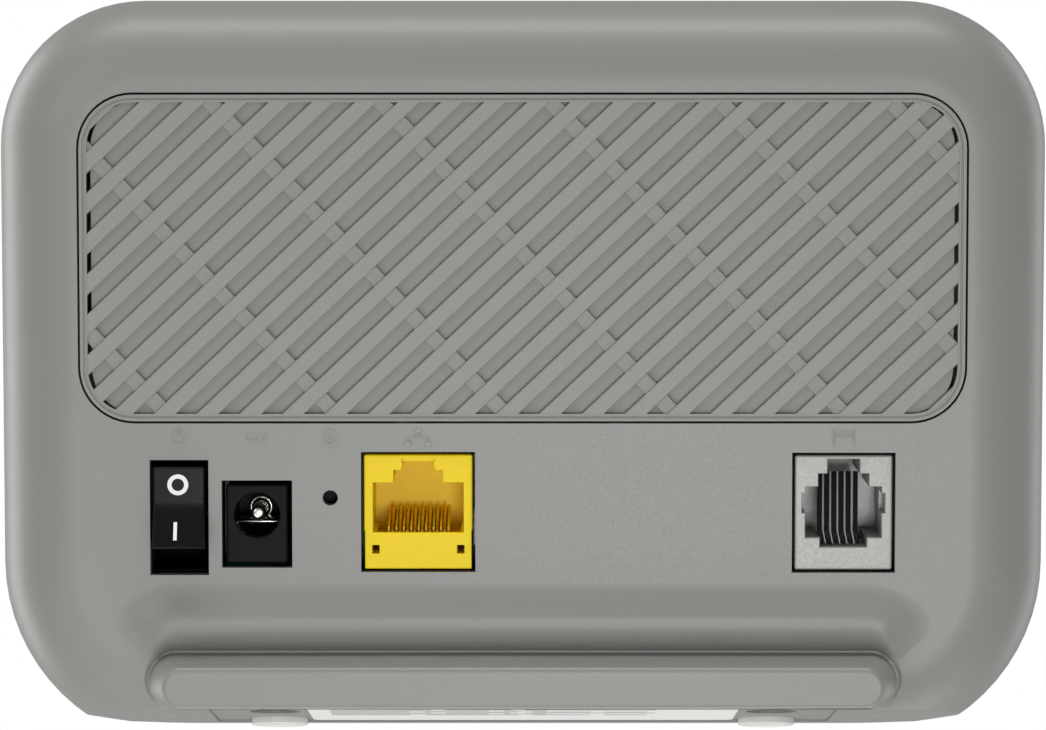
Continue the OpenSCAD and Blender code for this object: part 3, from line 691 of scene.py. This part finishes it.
def slantedBars(name, pitch, width, phase, count, level, length, turn):
    deselectAll()
    bpy.ops.mesh.primitive_cube_add(size=1)
    bar = newPiece(name)
    bar.scale = (length * mm, width * mm, vent["thick"] * mm)
    bar.location = (0, 0, (level - vent["thick"] / 2) * mm)
    applyAll(bar)
    bevelEdges(bar, lambda e: min(v.co.z for v in e.verts) > (level - 0.01) * mm, 0.14)
    bars = copyAlong(bar, [i * pitch + phase for i in range(-count, count + 1)], 1)
    made = joinPieces(bars, name)
    made.rotation_euler.z = math.radians(vent["angle"] + turn)
    applyAll(made)
    made.location = (vent["x"] * mm, vent["y"] * mm, 0)
    applyAll(made)
    return made


inner = vent["margin"] - vent["overlap"]
ribs = slantedBars("ribs", vent["pitch"], vent["pitch"] - vent["slot"], vent["pitch"] / 2,
                   vent["ribs"], top, vent["ribLong"], 0)
carve(ribs, ventBlock("ribTool", inner, vent["cut"]), "INTERSECT")
crossBars = slantedBars("crossBars", vent["barPitch"], vent["bar"], -vent["barPhase"],
                        vent["bars"], top - vent["barDrop"], vent["barLong"], 90)
carve(crossBars, ventBlock("barTool", inner, vent["cut"]), "INTERSECT")
ventGrille = joinPieces([ventFrame, ribs, crossBars], "ventGrille")
smoothShade(ventGrille, 25)
settle(ventGrille, finishes["vent"], "chassis", ["vent_grille"])
print("vent:", len(ventGrille.data.polygons), "faces")


# edges round openings in a flat face at one height, away from the piece's own outline
def onMouth(level, x, y, inside=0.35):
    def test(e):
        if len(e.link_faces) != 2 or max(abs(v.co.z - level * mm) for v in e.verts) > 1e-6:
            return False
        if max(f.normal.z for f in e.link_faces) < 0.99:
            return False
        middle = (e.verts[0].co + e.verts[1].co) / 2 / mm
        return x[0] + inside < middle.x < x[1] - inside and y[0] + inside < middle.y < y[1] - inside
    return test


socket = dict(face=-0.3, board=-15, deep=12.2, corner=0.3, mouthEdge=0.12)

network = dict(mid=-14.3, x=(-21.7, -6.9), y=(-28.0, -12.3), waist=-22.7, waistIn=0.14,
               main=(6.2, -23.0, -16.1), step=(3.4, -16.6, -14.4), notch=(2.3, -15.0, -13.95),
               lip=(2.3, -13.3, -12.8), lipDeep=1.0, gap=(2.15, -14.0, -13.25), gapDeep=14.6,
               floor=(5.75, -24.1, -22.9), floorZ=(-12.2, -1.1), holeX=5.8, hole=(1.0, -25.9, -24.7),
               count=8, pitch=1.02, wire=0.4, wireFoot=-22.6, wireTip=-20.4, toothRise=2.0, tooth=0.26)


# box set about a middle line: half its width, then its low and high sides
def centred(name, mid, shape, z):
    half, low, high = shape
    return addBlock(name, (mid - half, mid + half), (low, high), z)


def socketBody(name, place, cavities):
    body = addBlock(name, place["x"], place["y"], (socket["board"], socket["face"]))
    softenBlock(body, socket["corner"], 3)
    for shape, deep in cavities:
        carve(body, centred("cavity", place["mid"], shape, (-deep, 1)))
    return body


networkSocket = socketBody("networkSocket", network, [
    (network["main"], socket["deep"]), (network["step"], socket["deep"]),
    (network["notch"], socket["deep"]), (network["lip"], network["lipDeep"]),
    (network["gap"], network["gapDeep"])])
carve(networkSocket, centred("floorSlot", network["mid"], network["floor"], network["floorZ"]))
for side in (-1, 1):
    edge = network["x"][0 if side < 0 else 1]
    sliver = sorted((edge - side * network["waistIn"], edge + side))
    carve(networkSocket, addBlock("waist", sliver, (network["y"][0] - 1, network["waist"]),
                                  (socket["board"] - 1, 1)))
    x = network["mid"] + side * network["holeX"]
    width, low, high = network["hole"]
    carve(networkSocket, addBlock("hole", (x - width / 2, x + width / 2), (low, high), (-12, 1)))
bevelEdges(networkSocket, onMouth(socket["face"], network["x"], network["y"]),
           socket["mouthEdge"])
# thin walls that keep the springs apart, higher at the back
tooth = addBlock("tooth", (-network["tooth"] / 2, network["tooth"] / 2),
                 (network["floor"][1] - 0.1, network["wireFoot"] + 0.1), (-socket["deep"] - 0.1, -2.2))
startEdit(tooth, "VERT")
choose("verts", lambda v: v.co.z < -10 * mm and v.co.y > (network["wireFoot"] - 0.1) * mm)
bpy.ops.transform.translate(value=(0, network["toothRise"] * mm, 0))
endEdit()
for one in copyAlong(tooth, rowPlaces(network["mid"], network["count"] + 1, network["pitch"])):
    carve(networkSocket, one, "UNION")
smoothShade(networkSocket, 20)
settle(networkSocket, finishes["yellow"], "chassis", ["eth_jack_housing"])


# one spring wire leaning back from the mouth, with a curled tip, then a row of them
def springRow(name, mid, count, pitch, width, thick, foot, tip, front, back, curl):
    wire = addBlock(name, (-width / 2, width / 2), (foot - thick, foot), (back, front))
    startEdit(wire, "VERT")
    choose("verts", lambda v: v.co.z < (front + back) / 2 * mm)
    bpy.ops.transform.translate(value=(0, (tip - foot) * mm, 0))
    endEdit()
    startEdit(wire)
    choose("faces", lambda f: f.normal.z < -0.5)
    for dy, dz in curl:
        bpy.ops.mesh.extrude_region_move(
            TRANSFORM_OT_translate={"value": (0, dy * mm, dz * mm)})
    choose("faces", lambda f: f.normal.z > 0.5)
    bpy.ops.mesh.extrude_region_move(
        TRANSFORM_OT_translate={"value": (0, -0.35 * mm, 0.5 * mm)})
    endEdit()
    softenBlock(wire, width * 0.2, 2)
    row = joinPieces(copyAlong(wire, rowPlaces(mid, count, pitch)), name)
    smoothShade(row, 40)
    return row


networkSprings = springRow("networkSprings", network["mid"], network["count"], network["pitch"],
                           network["wire"], 0.28, network["wireFoot"], network["wireTip"],
                           -2.0, -9.6, [(0.1, -0.5), (-0.4, -0.5), (-0.7, -0.2)])
settle(networkSprings, finishes["gold"], "chassis", ["eth_jack_contacts"])

line = dict(mid=43.75, x=(37.1, 50.4), y=(-28.1, -12.4), main=(5.2, -23.7, -16.7),
            groove=(5.65, -20.3, -17.6), grooveDeep=5.0, step=(3.45, -17.0, -14.9),
            notch=(2.2, -15.2, -12.9), slot=(3.2, -25.0, -23.4), slotDeep=13.5,
            count=6, pitch=0.985, wire=0.66, wireMid=43.08, wireTop=-15.05, wireLow=-22.9,
            wireEnd=-24.8, sweep=0.38, lean=0.15, rib=0.2)
lineSocket = socketBody("lineSocket", line, [
    (line["main"], socket["deep"]), (line["groove"], line["grooveDeep"]),
    (line["step"], socket["deep"]), (line["notch"], socket["deep"]),
    (line["slot"], line["slotDeep"])])
bevelEdges(lineSocket, onMouth(socket["face"], line["x"], line["y"]), socket["mouthEdge"])
smoothShade(lineSocket, 20)
settle(lineSocket, finishes["lightGrey"], "chassis", ["dsl_jack_housing"])


# upright bar of the line socket, leaning back at its top and narrowed into the low slot
def uprightBar(name, width, front, back):
    thick = 0.3
    bar = addBlock(name, (-width / 2, width / 2), (line["wireLow"], line["wireTop"]),
                   (front - thick, front))
    startEdit(bar, "VERT")
    choose("verts", lambda v: v.co.y > -19 * mm)
    bpy.ops.transform.translate(value=(line["lean"] * mm, 0, (back - front) * mm))
    endEdit()
    startEdit(bar)
    choose("faces", lambda f: f.normal.y < -0.9)
    bpy.ops.mesh.extrude_region_move(TRANSFORM_OT_translate={
        "value": (line["sweep"] * mm, (line["wireEnd"] - line["wireLow"]) * mm, 0)})
    bpy.ops.transform.resize(value=(0.5, 1, 1), center_override=(
        line["sweep"] * mm, line["wireEnd"] * mm, front * mm))
    endEdit()
    return bar


springBar = uprightBar("springBar", line["wire"], -2.4, -4.6)
softenBlock(springBar, 0.09, 2)
springPlaces = rowPlaces(line["wireMid"], line["count"], line["pitch"])
lineSprings = joinPieces(copyAlong(springBar, springPlaces), "lineSprings")
smoothShade(lineSprings, 40)
settle(lineSprings, finishes["shadedWire"], "chassis", ["dsl_jack_contacts"])
ribBar = uprightBar("ribBar", line["rib"], -2.6, -4.8)
ribPlaces = rowPlaces(line["wireMid"], line["count"] - 1, line["pitch"])
lineRibs = joinPieces(copyAlong(ribBar, ribPlaces), "lineRibs")
smoothShade(lineRibs, 30)
settle(lineRibs, finishes["lightGrey"], "chassis")
print("sockets made")

# the inlet: block, round hole with a rolled edge, pin with a domed tip and a flat leaf
inlet = dict(x=(-40.5, -32.1), y=(-27.2, -16.4), hole=3.1, mid=(-36.3, -20.6), deep=11,
             corner=0.35, pin=1.05, pinTip=-2.6, pinFoot=-13.4, seatGap=0.02, seat=(-14, -10),
             slotHalf=1.3, slot=(-4.4, -1.9), slotZ=(-13, -3))
inletBody = addBlock("inletBody", inlet["x"], inlet["y"], (socket["board"], socket["face"]))
softenBlock(inletBody, inlet["corner"], 3)


carve(inletBody, addRod("bore", *inlet["mid"], inlet["hole"], (-inlet["deep"], 1), 64))
carve(inletBody, addRod("pinSeat", *inlet["mid"], inlet["pin"] + inlet["seatGap"], inlet["seat"]))
x, y = inlet["mid"]
carve(inletBody, addBlock("leafSlot", (x - inlet["slotHalf"], x + inlet["slotHalf"]),
                          (y + inlet["slot"][0], y + inlet["slot"][1]), inlet["slotZ"]))
bevelEdges(inletBody, onMouth(socket["face"], inlet["x"], inlet["y"], 0.4), 0.16, 3)
smoothShade(inletBody, 30)
settle(inletBody, finishes["black"], "chassis", ["dc_jack_body"])

inletPin = addRod("inletPin", *inlet["mid"], inlet["pin"], (inlet["pinFoot"], inlet["pinTip"]))
bevelEdges(inletPin, lambda e: min(v.co.z for v in e.verts) > (inlet["pinTip"] - 0.01) * mm,
           0.7, 6)
smoothShade(inletPin, 40)
settle(inletPin, finishes["nickel"], "chassis", ["dc_jack_pin"])

collar = dict(outer=1.6, inner=1.25, z=(-10.9, -9.6))
inletCollar = addRod("inletCollar", *inlet["mid"], collar["outer"], collar["z"])
carve(inletCollar, addRod("collarHole", *inlet["mid"], collar["inner"], (-12, -8)))
softenBlock(inletCollar, 0.12, 2)
smoothShade(inletCollar, 40)
settle(inletCollar, finishes["nickel"], "chassis")

leaf = dict(half=2.95, y=-21.75, thick=0.2, front=-4.2, back=-9.0)
inletLeaf = addBlock("inletLeaf", (inlet["mid"][0] - leaf["half"], inlet["mid"][0] + leaf["half"]),
                     (leaf["y"], leaf["y"] + leaf["thick"]), (leaf["back"], leaf["front"]))
startEdit(inletLeaf)
choose("faces", lambda f: f.normal.z > 0.9)
bpy.ops.mesh.extrude_region_move(TRANSFORM_OT_translate={"value": (0, -0.25 * mm, 0.35 * mm)})
choose("faces", lambda f: f.normal.z < -0.9)
bpy.ops.mesh.extrude_region_move(TRANSFORM_OT_translate={"value": (0, -0.5 * mm, -1.2 * mm)})
endEdit()
softenBlock(inletLeaf, 0.06, 2)
smoothShade(inletLeaf, 40)
settle(inletLeaf, finishes["nickel"], "chassis", ["dc_jack_spring"])
print("inlet made")

# the rocker: two flat halves that meet in a soft valley, on two round pins
rocker = dict(x=-46.9, y=-20.9, pivot=-5.5, tilt=12, width=7, half=5.6, end=7.69, valley=6.5,
              shoulder=(5.4, 2.0), foot=(3.0, -1.8), pin=1.25, pinHalf=5.0, edge=0.28,
              valleySoft=0.9)
rockerPiece = addBlock("rocker", (-rocker["width"] / 2, rocker["width"] / 2),
                       (-rocker["half"], rocker["half"]), (rocker["foot"][1], rocker["end"]))
startEdit(rockerPiece)
for spot, normal in (((0, 0, 0), (0, 1, 0)), ((0, 0, rocker["shoulder"][1] * mm), (0, 0, 1))):
    bpy.ops.mesh.select_all(action="SELECT")
    bpy.ops.mesh.bisect(plane_co=spot, plane_no=normal)
endEdit()
startEdit(rockerPiece, "VERT")
choose("verts", lambda v: abs(v.co.y) < 1e-6 and v.co.z > (rocker["end"] - 0.1) * mm)
bpy.ops.transform.translate(value=(0, 0, (rocker["valley"] - rocker["end"]) * mm))
choose("verts", lambda v: abs(v.co.z - rocker["shoulder"][1] * mm) < 1e-6)
bpy.ops.transform.resize(value=(1, rocker["shoulder"][0] / rocker["half"], 1),
                         center_override=(0, 0, 0))
choose("verts", lambda v: v.co.z < (rocker["foot"][1] + 0.1) * mm)
bpy.ops.transform.resize(value=(1, rocker["foot"][0] / rocker["half"], 1),
                         center_override=(0, 0, 0))
endEdit()
bevelEdges(rockerPiece, lambda e: all(abs(v.co.y) < 1e-6 and v.co.z > 6 * mm for v in e.verts),
           rocker["valleySoft"], 6)
softenBlock(rockerPiece, rocker["edge"], 4, 30)
for side in (-1, 1):
    deselectAll()
    reach = rocker["pinHalf"] - 2
    bpy.ops.mesh.primitive_cylinder_add(
        vertices=40, radius=rocker["pin"] * mm, depth=reach * mm,
        location=(side * (2 + reach / 2) * mm, 0, 0), rotation=(0, math.pi / 2, 0))
    pin = newPiece("pin")
    applyAll(pin)
    bevelEdges(pin, lambda e: min(v.co.x * side for v in e.verts) > (rocker["pinHalf"] - 0.01) * mm,
               0.2, 2)
    carve(rockerPiece, pin, "UNION")
rockerPiece.rotation_euler.x = -math.radians(rocker["tilt"])
rockerPiece.location = (rocker["x"] * mm, rocker["y"] * mm, rocker["pivot"] * mm)
applyAll(rockerPiece)
smoothShade(rockerPiece, 35)
settle(rockerPiece, finishes["rocker"], "rocker", ["switch_rocker"])
print("rocker made")

# low raised signs over the ports, plain pictograms in the same plastic as the case
sign = dict(y=-9.9, proud=0.14, stroke=0.26)


def signBar(x, y, w, h):
    bar = addBlock("bar", (x - w / 2, x + w / 2), (sign["y"] + y - h / 2, sign["y"] + y + h / 2),
                   (-0.4, sign["proud"]))
    bevelEdges(bar, lambda e: min(v.co.z for v in e.verts) > (sign["proud"] - 0.01) * mm, 0.05, 1)
    return bar


def signRing(x, y, radius, gapTop=False):
    deselectAll()
    bpy.ops.mesh.primitive_circle_add(vertices=32, radius=radius * mm, fill_type="NGON",
                                      location=(x * mm, (sign["y"] + y) * mm, sign["proud"] * mm))
    ring = newPiece("ring")
    applyAll(ring)
    startEdit(ring)
    bpy.ops.mesh.select_all(action="SELECT")
    bpy.ops.mesh.inset(thickness=sign["stroke"] * mm)
    bpy.ops.mesh.delete(type="FACE")
    bpy.ops.mesh.select_all(action="SELECT")
    bpy.ops.mesh.extrude_region_move(TRANSFORM_OT_translate={
        "value": (0, 0, -(sign["proud"] + 0.4) * mm)})
    endEdit()
    fixNormals(ring)
    if gapTop:
        carve(ring, addBlock("gap", (x - 0.3, x + 0.3), (sign["y"] + y, sign["y"] + y + radius + 1),
                             (-1, 1)))
    return ring


thin = sign["stroke"]
signs = []
x = rocker["x"]  # power: open ring with an upright
signs += [signRing(x, 0, 1.1, True), signBar(x, 0.7, thin, 1.1)]
x = inlet["mid"][0]  # direct current: a bar over three dashes
signs += [signBar(x, 0.35, 2.8, thin)]
signs += [signBar(x + d, -0.35, 0.64, thin) for d in (-1.08, 0, 1.08)]
x = resetHole["x"]  # reset: ring with a dot
signs += [signRing(x, 0, 1.1), signBar(x, 0, 0.5, 0.5)]
x = network["mid"]  # network: one box over two, joined by lines
signs += [signBar(x, 0.9, 1.0, 0.6), signBar(x, 0.35, thin, 0.49), signBar(x, 0, 3.0, thin)]
for side in (-1, 1):
    signs += [signBar(x + side * 1.37, -0.35, thin, 0.44), signBar(x + side * 1.37, -0.88, 1.0, 0.6)]
x = line["mid"]  # line: two posts with wires between them
signs += [signBar(x - 1.4, 0, thin, 2.2), signBar(x + 1.4, 0, thin, 2.2),
          signBar(x, 0.7, 2.5, thin), signBar(x, 0.1, 2.5, thin)]
portSigns = joinPieces(signs, "portSigns")
smoothShade(portSigns, 30, weighted=False)
settle(portSigns, finishes["case"], "chassis")

# rubber feet: low discs with a rolled rim and a dished sole
foots = []
for side in (-1, 1):
    pad = addRod("pad", side * pads["x"], pads["y"], pads["radius"], (0, pads["thick"]))
    startEdit(pad)
    choose("faces", lambda f: f.normal.z < -0.9)
    bpy.ops.mesh.inset(thickness=pads["rim"] * mm)
    bpy.ops.mesh.inset(thickness=pads["step"] * mm, depth=-pads["dish"] * mm)
    endEdit()
    bevelEdges(pad, lambda e: max(v.co.z for v in e.verts) < 1e-6 and
               max(math.hypot(v.co.x - side * pads["x"] * mm, v.co.y - pads["y"] * mm)
                   for v in e.verts) > (pads["radius"] - 0.1) * mm, pads["roll"], 4)
    foots.append(pad)
rubberFeet = joinPieces(foots, "rubberFeet")
smoothShade(rubberFeet, 35)
settle(rubberFeet, finishes["rubber"], "chassis", ["rubber_feet"], inFace=False)

# rating label: thin film with round corners, and plain rules printed on it
low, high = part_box("rating_label")
film = addPlate("ratingLabel", (low[0] / mm, high[0] / mm), (low[1] / mm, high[1] / mm),
                low[2] / mm, 1.2, 1.2, 6)
growSteps(film, [(0, (high[2] - low[2]) / mm)])
fixNormals(film)
smoothShade(film, 30, weighted=False)
settle(film, finishes["label"], "chassis", ["rating_label"], inFace=False)
rules = []
rows = dict(first=1.6, pitch=1.7, thick=0.5, count=9, margin=3.0, ink=0.02)
for i in range(rows["count"]):
    y = low[1] / mm + rows["first"] + i * rows["pitch"]
    x = low[0] / mm + rows["margin"]
    for w in ((14, 9, 18), (22, 6), (11, 13, 8, 6))[i % 3]:
        rules.append(addBlock("rule", (x, x + w), (y, y + rows["thick"]),
                              (low[2] / mm - rows["ink"], low[2] / mm + rows["ink"])))
        x += w + 2.0
labelRules = joinPieces(rules, "labelRules")
settle(labelRules, finishes["ink"], "chassis", inFace=False)

# indicator window: dark lens, edges rolled and set in the front
halfWide, halfHigh = (window[side] / 2 - window["gap"] for side in ("width", "height"))
lens = addBlock("indicatorWindow", (-halfWide, halfWide),
                (window["y"] - halfHigh, window["y"] + halfHigh),
                (-case["depth"], -case["depth"] + window["thick"]))
softenBlock(lens, window["edge"], 3)
smoothShade(lens, 35)
settle(lens, finishes["window"], "chassis", ["indicator_window"])
print("signs, feet, label and window made")

# floor: seen from above only, so the low camera looks past it
def makeFloorFinish():
    mat = bpy.data.materials.new("pale studio floor")
    mat.use_nodes = True
    tree = mat.node_tree
    shader = tree.nodes["Principled BSDF"]
    shader.inputs["Base Color"].default_value = hexColour("#f4f4f4")
    shader.inputs["Roughness"].default_value = 0.8
    back = addNode(tree, "ShaderNodeNewGeometry").outputs["Backfacing"]
    clear = addNode(tree, "ShaderNodeBsdfTransparent")
    mixed = addNode(tree, "ShaderNodeMixShader")
    tree.links.new(back, mixed.inputs[0])
    tree.links.new(shader.outputs[0], mixed.inputs[1])
    tree.links.new(clear.outputs[0], mixed.inputs[2])
    tree.links.new(mixed.outputs[0], tree.nodes["Material Output"].inputs["Surface"])
    return mat


deselectAll()
bpy.ops.mesh.primitive_plane_add(size=6, location=(0, 0, -0.0002))
floor = newPiece("floor")
floor.data.materials.append(makeFloorFinish())
for kind in ("diffuse", "glossy", "transmission", "shadow"):
    setattr(floor, "visible_" + kind, False)  # light reaches the underside as on a lit table

# camera square to the rear face, a little above its normal
view = dict(distance=570, above=4.8, focal=4190, pictureWidth=1046)
rise = math.radians(view["above"])
toCamera = (outward * math.cos(rise) + faceUp * math.sin(rise)).normalized()
deselectAll()
bpy.ops.object.camera_add(location=faceOrigin + toCamera * view["distance"] * mm)
camera = bpy.context.object
camera.rotation_euler = (-toCamera).to_track_quat("-Z", "Y").to_euler()
camera.data.sensor_width = 36
camera.data.lens = 36 * view["focal"] / view["pictureWidth"]
camera.data.clip_start, camera.data.clip_end = 0.01, 20
bpy.context.scene.camera = camera


# soft lights, placed in the rear face's frame: x across, y up it, z towards the viewer
def addSoftLight(name, place, size, power):
    deselectAll()
    bpy.ops.object.light_add(type="AREA", location=faceFrame @ Vector(place))
    light = bpy.context.object
    light.name = name
    light.data.shape = "RECTANGLE"
    light.data.size, light.data.size_y = size
    light.data.energy = power
    aim = faceOrigin - light.location
    light.rotation_euler = aim.to_track_quat("-Z", "Y").to_euler()


addSoftLight("key light", (-0.36, 0.20, 0.46), (0.24, 0.24), 0.36)
addSoftLight("low front light", (-0.17, -0.23, 0.32), (0.26, 0.26), 0.30)
addSoftLight("front light", (0.05, -0.10, 0.72), (0.16, 0.16), 1.55)
addSoftLight("top light", (0.0, 0.95, 0.06), (0.9, 0.2), 4.9)
addSoftLight("left edge light", (-0.62, 0.0, -0.30), (0.3, 0.9), 3.1)
addSoftLight("right edge light", (0.62, 0.0, -0.44), (0.3, 0.9), 1.5)
addSoftLight("low light", (0.1, -0.85, 0.10), (0.9, 0.4), 3.7)

world = bpy.context.scene.world or bpy.data.worlds.new("studio")
bpy.context.scene.world = world
world.use_nodes = True
sky = world.node_tree.nodes["Background"]
sky.inputs["Color"].default_value = (1, 1, 1, 1)
ambient = dict(seen=1.0, lit=0.36)
rays = addNode(world.node_tree, "ShaderNodeLightPath")
strength = addNode(world.node_tree, "ShaderNodeMapRange",
                   {"To Min": ambient["lit"], "To Max": ambient["seen"]},
                   Value=rays.outputs["Is Camera Ray"])
world.node_tree.links.new(strength.outputs["Result"], sky.inputs["Strength"])
bpy.context.scene.view_settings.view_transform = "Standard"
print("studio set up")

deselectAll()
